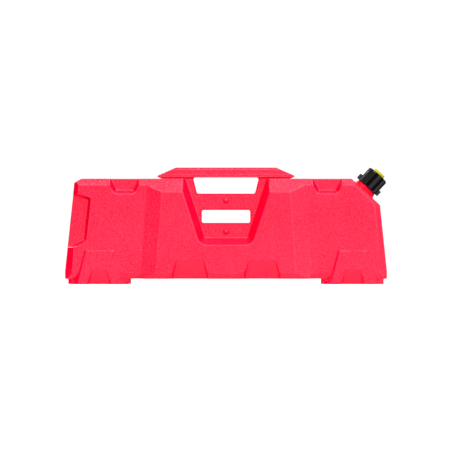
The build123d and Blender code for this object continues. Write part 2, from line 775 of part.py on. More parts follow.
# ---------------------------------------------------------------- strainer in the spout's mouth, and its vent tube
cup_radius = SPOUT_RADIUS - SPOUT_WALL
cup_floor = stopper_gasket_seat - STRAINER_DEPTH
with BuildPart() as strainer:
    with BuildSketch(neck_section):
        with BuildLine():
            Polyline(
                (0, cup_floor),
                (cup_radius, cup_floor),
                (cup_radius, rim_seat),
                (STRAINER_RADIUS, rim_seat),
                (STRAINER_RADIUS, stopper_gasket_seat),
                (cup_radius - STRAINER_WALL, stopper_gasket_seat),
                (cup_radius - STRAINER_WALL, cup_floor + STRAINER_WALL),
                (0, cup_floor + STRAINER_WALL),
                close=True,
            )
        make_face()
    revolve(axis=neck_axis)
    with BuildSketch(neck_plane(cup_floor - OVERSHOOT)):
        with Locations((VENT_OFFSET, 0)):
            Circle(VENT_RADIUS)
        with PolarLocations(0, STRAINER_SLOTS):
            with Locations((STRAINER_SLOT_RADIUS, 0)):
                Rectangle(STRAINER_SLOT_LENGTH, STRAINER_SLOT_WIDTH)
    extrude(amount=2 * OVERSHOOT, mode=Mode.SUBTRACT)
write(strainer.part, "strainer")

with BuildPart() as vent_tube:
    with BuildSketch(neck_plane(nozzle_end)):
        with Locations((VENT_OFFSET, 0)):
            Circle(VENT_RADIUS)
            Circle(VENT_RADIUS - VENT_WALL, mode=Mode.SUBTRACT)
    extrude(amount=cup_floor + STRAINER_WALL - nozzle_end)
write(vent_tube.part, "vent_tube")
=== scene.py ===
import json
import math

import bmesh
import bpy
import numpy as np
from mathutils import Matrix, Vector


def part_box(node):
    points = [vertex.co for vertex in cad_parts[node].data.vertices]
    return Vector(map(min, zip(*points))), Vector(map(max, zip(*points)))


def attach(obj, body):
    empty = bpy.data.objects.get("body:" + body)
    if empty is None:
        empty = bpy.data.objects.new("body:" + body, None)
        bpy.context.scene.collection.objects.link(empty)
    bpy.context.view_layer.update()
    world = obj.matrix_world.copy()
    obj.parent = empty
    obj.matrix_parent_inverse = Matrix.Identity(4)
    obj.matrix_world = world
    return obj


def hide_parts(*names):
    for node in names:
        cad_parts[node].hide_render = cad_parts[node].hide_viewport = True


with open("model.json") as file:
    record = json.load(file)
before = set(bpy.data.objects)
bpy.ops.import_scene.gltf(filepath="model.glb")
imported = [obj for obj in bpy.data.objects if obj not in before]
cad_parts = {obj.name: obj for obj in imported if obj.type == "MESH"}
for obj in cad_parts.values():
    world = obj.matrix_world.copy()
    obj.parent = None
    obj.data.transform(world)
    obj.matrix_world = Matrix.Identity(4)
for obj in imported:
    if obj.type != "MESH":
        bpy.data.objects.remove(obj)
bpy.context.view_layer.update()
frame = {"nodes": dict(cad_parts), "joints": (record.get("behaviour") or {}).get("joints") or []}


# ---- Tank shell. Blow-moulded high-density polyethylene, one piece with its handle, web, feet and neck.
# It is a copy of the solid's own mesh, merged, with the small radius that a mould leaves on its
# sharp outer edges and the raised line where the two halves of the mould met.
MERGE_WITHIN = 2e-6
FLAT_WITHIN = math.radians(0.3)
EDGE_RADIUS = 0.0011
HOLE_EDGE_RADIUS = 0.0022
SHARP_EDGE = math.radians(28)
ROUNDING_STRIP = 0.0011
SEAM_HALF_WIDTH = 0.0005
SEAM_HEIGHT = 0.0003
WEB_HALF = 0.015
HOLE_REACH = 0.08
PLAIN_STRIP = 0.0242
HINGE_HEIGHT = 0.020
NECK_BORE = 0.0186
NECK_BORE_FROM = 0.004
NECK_BORE_TO = 0.0379

cap_turn = next(joint for joint in frame["joints"] if joint["name"] == "cap_turn")
neck_out = np.array(cap_turn["axis"])
neck_foot = np.array(cap_turn["pos_m"]) - HINGE_HEIGHT * neck_out
neck_down = np.array([neck_out[2], 0.0, -neck_out[0]])
neck_across = np.array([0.0, 1.0, 0.0])


def from_neck(points):
    """Distance from the neck's axis and height over the slanted corner, for points in the frame."""
    height = (points - neck_foot) @ neck_out
    radius = np.linalg.norm(points - neck_foot - height[..., None] * neck_out, axis=-1)
    return radius, height


def linear(colour):
    """An sRGB hex value as the linear colour that a socket takes."""
    parts = np.array([int(colour[i:i + 2], 16) for i in (1, 3, 5)]) / 255
    low, high = parts / 12.92, ((parts + 0.055) / 1.055) ** 2.4
    return (*np.where(parts <= 0.04045, low, high), 1.0)


def add_node(tree, kind, settings=None, values=None, links=None):
    """A node with its settings, its sockets' values and the sockets that feed it."""
    node = tree.nodes.new(kind)
    for name, value in (settings or {}).items():
        setattr(node, name, value)
    for name, value in (values or {}).items():
        node.inputs[name].default_value = value
    for name, source in (links or {}).items():
        tree.links.new(source, node.inputs[name])
    return node


def new_material(name):
    """An empty node material and the shader that its look is built on."""
    material = bpy.data.materials.new(name)
    material.use_nodes = True
    tree = material.node_tree
    return material, tree, tree.nodes["Principled BSDF"]


def set_values(node, values):
    """Uniform values on a shader's own sockets."""
    for name, value in values.items():
        node.inputs[name].default_value = value


def red_resin(name, deep, light, grain_depth, gloss, shine):
    """Pigmented polyethylene: a drift between two reds over about 110 mm, a noise grain pressed in to
    a depth in metres, a roughness that follows the grain, and an even level of shine. Where the grain
    rises, the red also turns towards the paler one: a painted glint of the grain's crests."""
    material, tree, shader = new_material(name)
    place = add_node(tree, "ShaderNodeTexCoord").outputs["Object"]
    drift = add_node(
        tree, "ShaderNodeTexNoise", values={"Scale": 9.0, "Detail": 3.0}, links={"Vector": place},
    )
    grain = add_node(
        tree, "ShaderNodeTexNoise", values={"Scale": 300.0, "Detail": 2.0}, links={"Vector": place},
    )
    speckle = add_node(
        tree, "ShaderNodeMath", {"operation": "MULTIPLY_ADD"}, {1: 1.6},
        {0: grain.outputs["Fac"], 2: drift.outputs["Fac"]},
    )
    spread = add_node(
        tree, "ShaderNodeMapRange", values={"From Max": 2.6}, links={"Value": speckle.outputs["Value"]},
    )
    # The slow drift is the resin's own tone; where the grain rises the red turns paler, a painted glint.
    tone_and_glint = add_node(tree, "ShaderNodeValToRGB", links={"Fac": spread.outputs["Result"]})
    tone_and_glint.color_ramp.elements[0].position = 0.38
    tone_and_glint.color_ramp.elements[0].color = linear(deep)
    tone_and_glint.color_ramp.elements[1].position = 0.62
    tone_and_glint.color_ramp.elements[1].color = linear(light)
    sheen = add_node(
        tree, "ShaderNodeMapRange", values={"To Min": gloss, "To Max": gloss + 0.12},
        links={"Value": grain.outputs["Fac"]},
    )
    bump = add_node(
        tree, "ShaderNodeBump", values={"Strength": 1.0, "Distance": grain_depth},
        links={"Height": grain.outputs["Fac"]},
    )
    set_values(shader, {"IOR": 1.54, "Specular IOR Level": shine})
    tree.links.new(tone_and_glint.outputs["Color"], shader.inputs["Base Color"])
    tree.links.new(sheen.outputs["Result"], shader.inputs["Roughness"])
    tree.links.new(bump.outputs["Normal"], shader.inputs["Normal"])
    return material


# Straight from a grit-blasted mould: a deep even red with a fine matt grain. The grain is about half
# a millimetre across; it is drawn at about three millimetres, so that it shows at all. Its paler
# speckles are a painted glint, standing in for the whitish light that the grain's crests scatter.
red_grained = red_resin("blasted_polyethylene", "#F00034", "#FF183F", 0.0018, 0.21, 0.21)
# The bevels and scallops round the bottom come off plain steel, so they are smooth and a little duller.
red_plain = red_resin("plain_polyethylene", "#F40034", "#F80038", 0.00003, 0.28, 0.28)
# The narrow strips of every rounding, outward and inward, take a paler, glossier red than the faces beside
# them: a painted highlight along the edges.
red_edge_highlight = red_resin("edge_highlight_polyethylene", "#FB2849", "#FC3352", 0.0001, 0.22, 0.26)
# A duller, deeper red for the walls of the recesses, the cuts of the left end, the pads' flanks that
# look left, the scallops' flanks, the pips' undersides and the rims of the web's holes. It is painted
# shade: it stands in for the shade that these faces lie in, and isn't a known finish.
red_painted_shade = red_resin("painted_shade_polyethylene", "#EC002C", "#F40032", 0.00003, 0.3, 0.05)

# The same resin in the neck, which is pressed against polished steel, so it is glossy. It shrinks as
# it cools, into ripples about eight millimetres apart.
red_polished, tree, shader = new_material("pressed_polyethylene")
place = add_node(tree, "ShaderNodeTexCoord").outputs["Object"]
ripple = add_node(
    tree, "ShaderNodeTexNoise", values={"Scale": 120.0, "Detail": 1.0}, links={"Vector": place},
)
bump = add_node(
    tree, "ShaderNodeBump", values={"Strength": 0.15, "Distance": 0.00005},
    links={"Height": ripple.outputs["Fac"]},
)
set_values(shader, {
    "Base Color": linear("#C8001E"), "Roughness": 0.16, "IOR": 1.54, "Specular IOR Level": 0.07,
})
tree.links.new(bump.outputs["Normal"], shader.inputs["Normal"])

shell_mesh = frame["nodes"]["tank_body"].data.copy()
shell_mesh.name = "tank_shell"
form = bmesh.new()
form.from_mesh(shell_mesh)
bmesh.ops.remove_doubles(form, verts=form.verts, dist=MERGE_WITHIN)
bmesh.ops.dissolve_limit(form, angle_limit=FLAT_WITHIN, verts=form.verts, edges=form.edges)
for point, across in (
    ((0, -SEAM_HALF_WIDTH, 0), (0, 1, 0)),
    ((0, 0, 0), (0, 1, 0)),
    ((0, SEAM_HALF_WIDTH, 0), (0, 1, 0)),
    ((0, 0, PLAIN_STRIP), (0, 0, 1)),
):
    everything = form.verts[:] + form.edges[:] + form.faces[:]
    bmesh.ops.bisect_plane(form, geom=everything, plane_co=point, plane_no=across, dist=1e-7)

# The outside is what can be reached over the surface without going down the neck's bore.
form.faces.ensure_lookup_table()
centres = np.array([face.calc_center_median() for face in form.faces])
bore_radius, bore_height = from_neck(centres)
down_the_bore = (bore_radius < NECK_BORE) & (bore_height > NECK_BORE_FROM) & (bore_height < NECK_BORE_TO)
start = int(np.argmin(centres[:, 0]))
outside = np.zeros(len(centres), bool)
outside[start] = True
waiting = [form.faces[start]]
while waiting:
    for edge in waiting.pop().edges:
        for face in edge.link_faces:
            if not outside[face.index] and not down_the_bore[face.index]:
                outside[face.index] = True
                waiting.append(face)

# Which finish a face has follows from where its centre is and which way it looks. A place counts on
# both sides of the middle and of the parting, but for the grip and the cuts, which are at the left
# end. A facing is a part of the normal: 1 looks straight that way and 0 is square to it.
NECK_REACH = 0.0272
NECK_FROM = 0.0003
on_neck = (bore_radius < NECK_REACH) & (bore_height > NECK_FROM)
normals = np.array([face.normal for face in form.faces])
from_middle, from_seam, level = np.abs(centres[:, 0]), np.abs(centres[:, 1]), centres[:, 2]
rightward, broadside, upward = normals[:, 0], np.abs(normals[:, 1]), normals[:, 2]

PLAIN_BEVEL_TOP = 0.055
PLAIN_BEVEL_FACING = -0.2
PLAIN_STRIP_REACH = 0.2
off_plain_steel = (level < PLAIN_BEVEL_TOP) & (upward < PLAIN_BEVEL_FACING)
off_plain_steel |= (level < PLAIN_STRIP) & (from_middle < PLAIN_STRIP_REACH)

RECESS_REACH = 0.125
RECESS_FOOT = 0.08
POCKET_MIDDLE = 0.2215
POCKET_HALF = 0.045
POCKET_FOOT = 0.195
GRIP_FROM = 0.285
GRIP_TO = 0.347
GRIP_FOOT = 0.08
GRIP_TOP = 0.2
WALL_FACING = 0.8
WALL_TOP = 0.229
WALL_FOOT = 0.0152
LEDGE_FACING = 0.6
in_recess = (from_middle < RECESS_REACH) & (level > RECESS_FOOT)
in_pocket = (np.abs(from_middle - POCKET_MIDDLE) < POCKET_HALF) & (level > POCKET_FOOT)
in_grip = (centres[:, 0] < -GRIP_FROM) & (from_middle < GRIP_TO) & (level > GRIP_FOOT) & (level < GRIP_TOP)
steep = broadside < WALL_FACING
recess_wall = (in_recess | in_pocket | in_grip) & steep & (level < WALL_TOP) & (from_seam > WALL_FOOT)

PIP_REACH = 0.012
PIP_FOOT = 0.0149
PIP_TIP = 0.0185
PIP_FACE_FACING = 0.99
PIP_UNDER_FACING = 0.2
on_pip = in_recess & (from_middle < PIP_REACH) & (from_seam > PIP_FOOT) & (from_seam < PIP_TIP)
under_pip = on_pip & (broadside < PIP_FACE_FACING) & ((upward < PIP_UNDER_FACING) | steep)

SCALLOP_MIDDLE = 0.0786
SCALLOP_HALF = 0.05
SCALLOP_TOP = 0.0525
SCALLOP_FLOOR = 0.03
SCALLOP_FACING = 0.3
PAD_MIDDLE = 0.276
PAD_HALF = 0.056
PAD_FOOT = 0.012
PAD_TOP = 0.075
PAD_ROOT = 0.036
PAD_FLANK_FACING = -0.25
PAD_SCALLOP_HALF = 0.03
PAD_SCALLOP_TOP = 0.031
by_scallop = np.abs(from_middle - SCALLOP_MIDDLE) < SCALLOP_HALF
by_scallop |= (level < PAD_SCALLOP_TOP) & (np.abs(from_middle - PAD_MIDDLE) < PAD_SCALLOP_HALF)
by_scallop &= (level < SCALLOP_TOP) & (from_seam > SCALLOP_FLOOR)
scallop_flank = by_scallop & (np.abs(rightward) > SCALLOP_FACING) & (upward < SCALLOP_FACING)
on_pad = (np.abs(from_middle - PAD_MIDDLE) < PAD_HALF) & (from_seam > PAD_ROOT)
on_pad &= (level > PAD_FOOT) & (level < PAD_TOP)
pad_flank = on_pad & (rightward < PAD_FLANK_FACING)

CUT_FROM = 0.318
CUT_FACING = -0.3
CUT_LEAST_BROADSIDE = 0.2
CUT_MOST_BROADSIDE = 0.97
CUT_UPWARD = 0.4
left_cut = (centres[:, 0] < -CUT_FROM) & (rightward < CUT_FACING) & (upward < CUT_UPWARD)
left_cut &= (broadside > CUT_LEAST_BROADSIDE) & (broadside < CUT_MOST_BROADSIDE)
# Faces that look left, away from the lamps, the scallops' flanks and the pips' undersides take the deeper
# red: painted shade.
painted_shade_by_facing = under_pip | scallop_flank | pad_flank | left_cut


def is_rounding(face):
    """Whether a face is one narrow strip of a rounding: its area over its longest side is about a
    millimetre at most, and its neighbours along the long sides both fall away from it or both rise."""
    longest = max(edge.calc_length() for edge in face.edges)
    if face.calc_area() / longest > ROUNDING_STRIP:
        return False
    bends = [edge.calc_face_angle_signed() for edge in face.edges if edge.calc_length() > 0.5 * longest]
    slack = math.radians(3)
    outward = max(bends) > slack and min(bends) > -slack
    inward = min(bends) < -slack and max(bends) < slack
    return outward or inward


weight = form.edges.layers.float.new("bevel_weight_edge")
hole_rims = []
for edge in form.edges:
    if len(edge.link_faces) != 2 or not all(outside[face.index] for face in edge.link_faces):
        continue
    if all(abs(vertex.co.y) < 2 * SEAM_HALF_WIDTH for vertex in edge.verts):
        continue
    if any(on_neck[face.index] for face in edge.link_faces) or not edge.is_convex:
        continue
    if edge.calc_face_angle() > SHARP_EDGE and edge.calc_length() > EDGE_RADIUS / 2:
        middle = (edge.verts[0].co + edge.verts[1].co) / 2
        if abs(abs(middle.y) - WEB_HALF) < 1e-5 and abs(middle.x) < HOLE_REACH:
            hole_rims.append(edge)
        else:
            edge[weight] = 1.0

low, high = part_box("tank_body")
form.normal_update()
on_shell = outside & ~on_neck
seam = [
    vertex for vertex in form.verts
    if abs(vertex.co.y) < 1e-5 and all(on_shell[face.index] for face in vertex.link_faces)
]
for vertex in seam:
    raised = vertex.co + vertex.normal * SEAM_HEIGHT
    vertex.co = [min(max(value, least), most) for value, least, most in zip(raised, low, high)]
finishes = [red_grained, red_polished, red_plain, red_edge_highlight, red_painted_shade]
for face in form.faces:
    if on_neck[face.index]:
        finish = red_polished
    elif painted_shade_by_facing[face.index]:
        finish = red_painted_shade
    elif off_plain_steel[face.index]:
        finish = red_plain
    # Strips of a rounding take the paler red, a painted highlight.
    elif outside[face.index] and is_rounding(face):
        finish = red_edge_highlight
    # Steep walls of the recesses that don't face up take the deeper red, painted shade; ledges keep the
    # plain red.
    elif recess_wall[face.index]:
        finish = red_painted_shade if upward[face.index] < LEDGE_FACING else red_plain
    else:
        finish = red_grained
    face.material_index = finishes.index(finish)
# The rims of the web's holes are rounded in the deeper red: painted shade that outlines the holes.
bmesh.ops.bevel(
    form, geom=hole_rims, offset=HOLE_EDGE_RADIUS, offset_type="OFFSET", segments=3, profile=0.4,
    affect="EDGES", clamp_overlap=False, material=finishes.index(red_painted_shade), loop_slide=True,
)
for face in form.faces:
    face.smooth = True
shell_mesh.materials.clear()
for finish in finishes:
    shell_mesh.materials.append(finish)
form.to_mesh(shell_mesh)
form.free()
tank_shell = bpy.data.objects.new("tank_shell", shell_mesh)
bpy.context.scene.collection.objects.link(tank_shell)
mould_radius = tank_shell.modifiers.new("mould_radius", "BEVEL")
mould_radius.limit_method = "WEIGHT"
mould_radius.width = EDGE_RADIUS
mould_radius.segments = 2
mould_radius.use_clamp_overlap = False
mould_radius.miter_outer = "MITER_ARC"
even_shading = tank_shell.modifiers.new("even_shading", "WEIGHTED_NORMAL")
even_shading.keep_sharp = True
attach(tank_shell, "tank")
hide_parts("tank_body")


# ---- Thread of the neck. Part of the same moulding: a coarse right-hand ridge, four millimetres a
# turn, that fades into the neck at both ends.
THREAD_PITCH = 0.004
THREAD_STEPS = 72
THREAD_FADE = 0.6
THREAD_ROOTING = 0.0004
NECK_THREAD_FROM = 0.020
NECK_THREAD_TURNS = 3.4
NECK_ROOT = 0.0210
NECK_CREST = 0.0225


def at_neck(radius, angle, height):
    """Points by distance from the neck's axis, angle round it from the down-slope side, and height."""
    around = np.cos(angle)[..., None] * neck_down + np.sin(angle)[..., None] * neck_across
    return neck_foot + radius[..., None] * around + height[..., None] * neck_out


def grid_piece(name, parts, material, body):
    """One mesh from grids of points. A grid (rows, columns, 3) is closed along its rows, and along
    its columns too unless its ends are to be capped. Coincident points are merged and faces turned out."""
    corners, faces, first = [], [], 0
    for points, closed in parts:
        rows, columns = points.shape[:2]
        number = np.arange(rows * columns).reshape(rows, columns) + first
        across = np.roll(number, -1, axis=0)
        down = np.roll(number, -1, axis=1)
        both = np.roll(across, -1, axis=1)
        quads = np.stack([number, across, both, down], axis=-1)
        if not closed:
            quads = quads[:, :-1]
            faces += [number[:, 0].tolist(), number[::-1, -1].tolist()]
        faces += quads.reshape(-1, 4).tolist()
        corners.append(points.reshape(-1, 3))
        first += rows * columns
    mesh = bpy.data.meshes.new(name)
    mesh.from_pydata(np.concatenate(corners), [], faces)
    shape = bmesh.new()
    shape.from_mesh(mesh)
    bmesh.ops.remove_doubles(shape, verts=shape.verts, dist=1e-7)
    bmesh.ops.dissolve_degenerate(shape, edges=shape.edges, dist=1e-7)
    bmesh.ops.recalc_face_normals(shape, faces=shape.faces)
    for face in shape.faces:
        face.smooth = True
    shape.to_mesh(mesh)
    shape.free()
    mesh.materials.append(material)
    piece = bpy.data.objects.new(name, mesh)
    bpy.context.scene.collection.objects.link(piece)
    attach(piece, body)
    return piece


def thread(root, crest, start, turns, base=0.0022, top=0.0008):
    """A ridge along a helix: its section is a trapezium from root to crest, its height rises at a
    steady rate with the angle, and the crest sinks to the root over the last 0.6 radians of each end."""
    angle = np.linspace(0, 2 * math.pi * turns, int(THREAD_STEPS * turns))
    level = start + THREAD_PITCH * angle / (2 * math.pi)
    fade = np.clip(np.minimum(angle, angle[-1] - angle) / THREAD_FADE, 0, 1) ** 0.5
    sunk = root + np.sign(root - crest) * THREAD_ROOTING
    tip = root + (crest - root) * fade
    radius = np.stack([np.full_like(angle, sunk), tip, tip, np.full_like(angle, sunk)])
    height = level + np.array([-base / 2, -top / 2, top / 2, base / 2])[:, None]
    return at_neck(radius, np.broadcast_to(angle, radius.shape), height), False


grid_piece(
    "neck_thread", [thread(NECK_ROOT, NECK_CREST, NECK_THREAD_FROM, NECK_THREAD_TURNS)],
    red_polished, "tank",
)


# ---- Collar of the cap. Injection-moulded black polypropylene: a threaded barrel with nine broad
# ribs for the hand, a rounded rim and a pair of lugs at its foot, turned down over the neck.
COLLAR_FOOT = 0.0116
COLLAR_TOP = 0.0482
COLLAR_BORE = 0.0228
COLLAR_THREAD_CREST = 0.0223  # has to pass the spout's and the stopper's flanges
COLLAR_THREAD_FROM = 0.024 + THREAD_PITCH / 2
COLLAR_THREAD_TURNS = 2.6
COLLAR_LIP = 0.0026
FLUTE_RADIUS = 0.0242
FLUTE_FROM = FLUTE_RADIUS - 0.0004
FLUTE_TO = FLUTE_RADIUS + 0.0003
FLUTE_TOP = COLLAR_TOP - 0.0015
RIB_RADIUS = 0.0252
RIM_ROUND = 0.0042
RIB_COUNT = 9
RIB_WIDTH = 0.0088
RIB_TURN = math.radians(1.5)
LUG_RADIUS = 0.0304
LUG_WIDTH = 0.0044
LUG_HEIGHT = 0.0124
LUG_TURN = math.radians(-5)
LUG_MIDDLE_RADIUS = 0.0275
RIB_SLOPE = 0.0012
LUG_SLOPE = 0.0003
RIM_STEPS = 9
HOLE_RADIUS = 0.0138
SOFT_STEP = 0.0004

# Polypropylene from a polished mould: nearly black, with a low gloss that the flow texture breaks up.
# The texture is finer than a millimetre and is drawn at about two, so that it shows.
black_moulded, tree, shader = new_material("injection_moulded_polypropylene")
place = add_node(tree, "ShaderNodeTexCoord").outputs["Object"]
flow = add_node(tree, "ShaderNodeTexNoise", values={"Scale": 420.0, "Detail": 2.0}, links={"Vector": place})
sheen = add_node(
    tree, "ShaderNodeMapRange", values={"To Min": 0.12, "To Max": 0.2},
    links={"Value": flow.outputs["Fac"]},
)
bump = add_node(
    tree, "ShaderNodeBump", values={"Strength": 0.1, "Distance": 0.0001},
    links={"Height": flow.outputs["Fac"]},
)
set_values(shader, {"Base Color": linear("#0B0B0C"), "IOR": 1.49, "Specular IOR Level": 0.3})
tree.links.new(sheen.outputs["Result"], shader.inputs["Roughness"])
tree.links.new(bump.outputs["Normal"], shader.inputs["Normal"])

# Down in the flutes between the ribs the same plastic is blacker and duller: painted shade.
black_flute_shade, tree, shader = new_material("flute_shade_polypropylene")
place = add_node(tree, "ShaderNodeTexCoord").outputs["Object"]
flow = add_node(tree, "ShaderNodeTexNoise", values={"Scale": 420.0, "Detail": 2.0}, links={"Vector": place})
sheen = add_node(
    tree, "ShaderNodeMapRange", values={"To Min": 0.3, "To Max": 0.45},
    links={"Value": flow.outputs["Fac"]},
)
set_values(shader, {"Base Color": linear("#030304"), "IOR": 1.49, "Specular IOR Level": 0.03})
tree.links.new(sheen.outputs["Result"], shader.inputs["Roughness"])


def stepped(value, half, step):
    """1 where the value is less than half away from zero, 0 beyond, and a short straight ramp between."""
    return np.clip((half - np.abs(value)) / step + 0.5, 0, 1)


def edge_angles(centres, half, step):
    """Angles just on either side of the two edges of each rib or lug."""
    sides = np.array([-half - step / 2, -half + step / 2, half - step / 2, half + step / 2])
    return (centres[:, None] + sides).ravel()


def collar_grid():
    """A closed section carried round the axis. Down the outside, its radius is the rim's rounding or
    the flute's radius plus the rib's rise at that angle, whichever is less; over the foot, the lug's
    radius takes over within half a lug's width of each lug."""
    ribs = RIB_TURN + np.arange(RIB_COUNT) * 2 * math.pi / RIB_COUNT
    lugs = LUG_TURN + np.arange(2) * math.pi
    rib_half, lug_half = RIB_WIDTH / 2 / RIB_RADIUS, LUG_WIDTH / 2 / LUG_MIDDLE_RADIUS
    rib_step, lug_step = RIB_SLOPE / RIB_RADIUS, LUG_SLOPE / LUG_MIDDLE_RADIUS
    angle = np.concatenate([
        np.linspace(0, 2 * math.pi, 180, endpoint=False),
        edge_angles(ribs, rib_half, rib_step), edge_angles(lugs, lug_half, lug_step),
    ])
    angle = np.unique(np.round(angle % (2 * math.pi), 5))
    turn_to_rib = (angle - RIB_TURN + math.pi / RIB_COUNT) % (2 * math.pi / RIB_COUNT) - math.pi / RIB_COUNT
    turn_to_lug = (angle - LUG_TURN + math.pi / 2) % math.pi - math.pi / 2
    rib = stepped(turn_to_rib, rib_half, rib_step)
    lug = stepped(turn_to_lug, lug_half, lug_step)

    bend = np.linspace(0, math.pi / 2, RIM_STEPS)
    rim_height = COLLAR_TOP - RIM_ROUND + RIM_ROUND * np.sin(bend)
    rim_radius = RIB_RADIUS - RIM_ROUND + RIM_ROUND * np.cos(bend)
    lug_top = COLLAR_FOOT + LUG_HEIGHT
    wall_height = np.array([COLLAR_FOOT, lug_top - SOFT_STEP / 2, lug_top + SOFT_STEP / 2])
    height = np.concatenate([wall_height, rim_height])
    limit = np.concatenate([np.full(3, RIB_RADIUS), rim_radius])
    outer = np.minimum(limit[:, None], FLUTE_RADIUS + (RIB_RADIUS - FLUTE_RADIUS) * rib)
    on_lug = lug * (height < lug_top)[:, None]
    outer = outer + (LUG_RADIUS - outer) * on_lug

    inner_height = np.array([COLLAR_TOP, COLLAR_TOP - COLLAR_LIP, COLLAR_TOP - COLLAR_LIP, COLLAR_FOOT])
    inner_radius = np.array([HOLE_RADIUS, HOLE_RADIUS, COLLAR_BORE, COLLAR_BORE])
    inner = np.broadcast_to(inner_radius[:, None], (4, len(angle)))
    radius = np.concatenate([outer, inner])
    height = np.concatenate([height, inner_height])
    height = np.broadcast_to(height[:, None], radius.shape)
    return at_neck(radius, np.broadcast_to(angle, radius.shape), height), True


def soften(piece, width, segments=2, angle=30):
    """The small radius on a moulded piece's sharp edges."""
    rounding = piece.modifiers.new("rounding", "BEVEL")
    rounding.limit_method = "ANGLE"
    rounding.angle_limit = math.radians(angle)
    rounding.width = width
    rounding.segments = segments
    even = piece.modifiers.new("even_shading", "WEIGHTED_NORMAL")
    even.keep_sharp = True


collar_thread = thread(COLLAR_BORE, COLLAR_THREAD_CREST, COLLAR_THREAD_FROM, COLLAR_THREAD_TURNS)
collar = grid_piece("collar", [collar_grid(), collar_thread], black_moulded, "collar")
radius, height = from_neck(np.array([face.center for face in collar.data.polygons]))
in_flute = (radius > FLUTE_FROM) & (radius < FLUTE_TO) & (height < FLUTE_TOP)
# Faces down in the flutes take the blacker copy, painted shade.
collar.data.materials.append(black_flute_shade)
collar.data.polygons.foreach_set("material_index", in_flute.astype(np.int32))
soften(collar, 0.00022)
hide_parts("cap_collar")


# ---- Stopper. Injection-moulded yellow polyethylene: a flange held down by the collar's lip and a
# hollow boss that stands up through the collar's hole.
SPOUT_SEAT = 0.0396
FLANGE = 0.0022
GASKET = 0.0016
FLANGE_RADIUS = 0.0222
STOPPER_SEAT = SPOUT_SEAT + FLANGE + GASKET
LIP_SEAT = STOPPER_SEAT + FLANGE
BOSS_RADIUS = 0.0135
BOSS_WALL = 0.0022
BOSS_TOP = COLLAR_TOP + 0.006

# Yellow polyethylene off a smooth mould: a strong, slightly waxy colour with a soft broad shine and
# clouds of a few millimetres.
yellow_moulded, tree, shader = new_material("injection_moulded_polyethylene")
place = add_node(tree, "ShaderNodeTexCoord").outputs["Object"]
wax = add_node(tree, "ShaderNodeTexNoise", values={"Scale": 260.0, "Detail": 2.0}, links={"Vector": place})
tint = add_node(tree, "ShaderNodeValToRGB", links={"Fac": wax.outputs["Fac"]})
tint.color_ramp.elements[0].position = 0.35
tint.color_ramp.elements[0].color = linear("#B6AB00")
tint.color_ramp.elements[1].position = 0.65
tint.color_ramp.elements[1].color = linear("#BEB300")
bump = add_node(
    tree, "ShaderNodeBump", values={"Strength": 0.15, "Distance": 0.0001},
    links={"Height": wax.outputs["Fac"]},
)
set_values(shader, {"Roughness": 0.42, "IOR": 1.54, "Specular IOR Level": 0.06})
tree.links.new(tint.outputs["Color"], shader.inputs["Base Color"])
tree.links.new(bump.outputs["Normal"], shader.inputs["Normal"])


def turned(section, steps=112):
    """A section of (radius, height) points carried once round the neck's axis. The section is closed
    by its last point joining its first; points on the axis come together when the mesh is merged."""
    section = np.array(section)
    angle = np.arange(steps) * 2 * math.pi / steps
    shape = (len(section), steps)
    radius = np.broadcast_to(section[:, :1], shape)
    height = np.broadcast_to(section[:, 1:], shape)
    return at_neck(radius, np.broadcast_to(angle, shape), height), True


stopper = grid_piece(
    "stopper_moulding", [turned([
        (0, BOSS_TOP - BOSS_WALL),
        (BOSS_RADIUS - BOSS_WALL, BOSS_TOP - BOSS_WALL),
        (BOSS_RADIUS - BOSS_WALL, STOPPER_SEAT),
        (FLANGE_RADIUS, STOPPER_SEAT),
        (FLANGE_RADIUS, LIP_SEAT),
        (BOSS_RADIUS, LIP_SEAT),
        (BOSS_RADIUS, BOSS_TOP),
        (0, BOSS_TOP),
    ])], yellow_moulded, "stopper",
)
soften(stopper, 0.0014, 4)
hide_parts("stopper")


# ---- Gaskets. Two flat rings cut from black nitrile rubber sheet, one under the spout's flange on
# the neck's rim and one between that flange and the stopper.
GASKET_RADIUS = 0.0209
GASKET_BORE = 0.0170

# Nitrile rubber sheet: dull dark grey, with the faint cloth mark of its press, a millimetre apart.
rubber, tree, shader = new_material("nitrile_rubber")
place = add_node(tree, "ShaderNodeTexCoord").outputs["Object"]
mark = add_node(tree, "ShaderNodeTexNoise", values={"Scale": 900.0, "Detail": 3.0}, links={"Vector": place})
bump = add_node(
    tree, "ShaderNodeBump", values={"Strength": 0.4, "Distance": 0.0001},
    links={"Height": mark.outputs["Fac"]},
)
set_values(shader, {"Base Color": linear("#161616"), "Roughness": 0.72, "IOR": 1.52})
tree.links.new(bump.outputs["Normal"], shader.inputs["Normal"])

for name, node, body, seat in (
    ("neck_seal", "neck_gasket", "spout", SPOUT_SEAT - GASKET),
    ("stopper_seal", "stopper_gasket", "stopper", SPOUT_SEAT + FLANGE),
):
    seal = grid_piece(name, [turned([
        (GASKET_BORE, seat), (GASKET_RADIUS, seat),
        (GASKET_RADIUS, seat + GASKET), (GASKET_BORE, seat + GASKET),
    ])], rubber, body)
    soften(seal, 0.00015)
    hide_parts(node)


